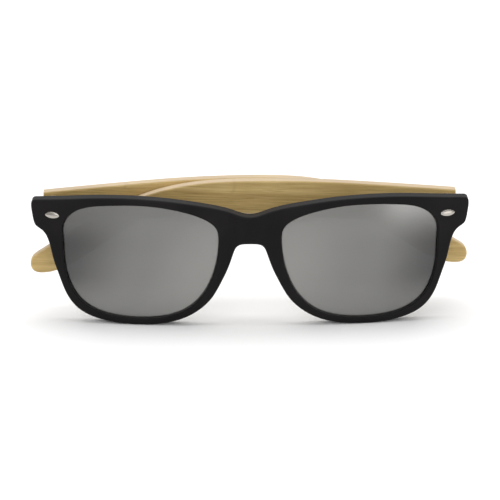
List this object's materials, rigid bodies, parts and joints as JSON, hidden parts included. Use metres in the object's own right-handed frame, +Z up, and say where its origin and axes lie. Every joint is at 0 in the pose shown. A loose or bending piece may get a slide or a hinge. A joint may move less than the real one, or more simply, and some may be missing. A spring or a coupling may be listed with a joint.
{
  "type": "folding sunglasses",
  "caption": "Sunglasses with a moulded dark front, mirrored lenses, bamboo temples and sprung hinges, shown folded.",
  "frame": {"origin": "centre of the bounding box's footprint, at the height of the rims' lowest points, with the temples folded", "axes": "+Z up as worn, the front faces -Y, +X is the wearer's left"},
  "size_m": [0.1485, 0.0306, 0.0448],
  "materials": {
    "front_plastic": "smooth satin black",
    "lens_mirror": "grey tint with a light silver mirror coat",
    "stud_metal": "polished nickel plate",
    "hinge_metal": "tumbled nickel silver",
    "screw_steel": "bright steel",
    "spring_steel": "drawn spring wire",
    "bamboo": "bare fine-sanded bamboo with a light oil"
  },
  "bodies": {
    "front": {"front_frame": "front_plastic", "lens_left": "lens_mirror", "front_stud_left": "stud_metal", "hinge_front_leaf_left": "hinge_metal", "hinge_screw_left": "screw_steel", "lens_right": "lens_mirror", "front_stud_right": "stud_metal", "hinge_front_leaf_right": "hinge_metal", "hinge_screw_right": "screw_steel"},
    "slider_left": {"hinge_slider_left": "hinge_metal", "spring_cap_left": "hinge_metal"},
    "temple_left": {"temple_left": "bamboo", "spring_housing_left": "hinge_metal", "spring_stop_left": "hinge_metal", "hinge_spring_left": "spring_steel", "housing_screw_left": "screw_steel"},
    "slider_right": {"hinge_slider_right": "hinge_metal", "spring_cap_right": "hinge_metal"},
    "temple_right": {"temple_right": "bamboo", "spring_housing_right": "hinge_metal", "spring_stop_right": "hinge_metal", "hinge_spring_right": "spring_steel", "housing_screw_right": "screw_steel"}
  },
  "joints": [
    {"name": "temple_right_fold", "type": "hinge", "parent": "front", "child": "slider_right", "pos_m": [-0.0662, 0.00487, 0.0365], "axis": [0, 0, 1], "range_deg": [0, 88.1]},
    {"name": "temple_right_spring", "type": "slide", "parent": "slider_right", "child": "temple_right", "axis": [0.9995, 0.0332, 0], "range_m": [0, 0.0015], "stiffness_N_per_m": 3000, "springref_m": -0.0005, "deforming": ["hinge_spring_right"]},
    {"name": "temple_left_fold", "type": "hinge", "parent": "front", "child": "slider_left", "pos_m": [0.0662, 0.00487, 0.0365], "axis": [0, 0, -1], "range_deg": [-0.5, 0.1]},
    {"name": "temple_left_spring", "type": "slide", "parent": "slider_left", "child": "temple_left", "axis": [-0.9995, -0.0332, 0], "range_m": [0, 0.0015], "stiffness_N_per_m": 3000, "springref_m": -0.0005, "deforming": ["hinge_spring_left"]}
  ]
}
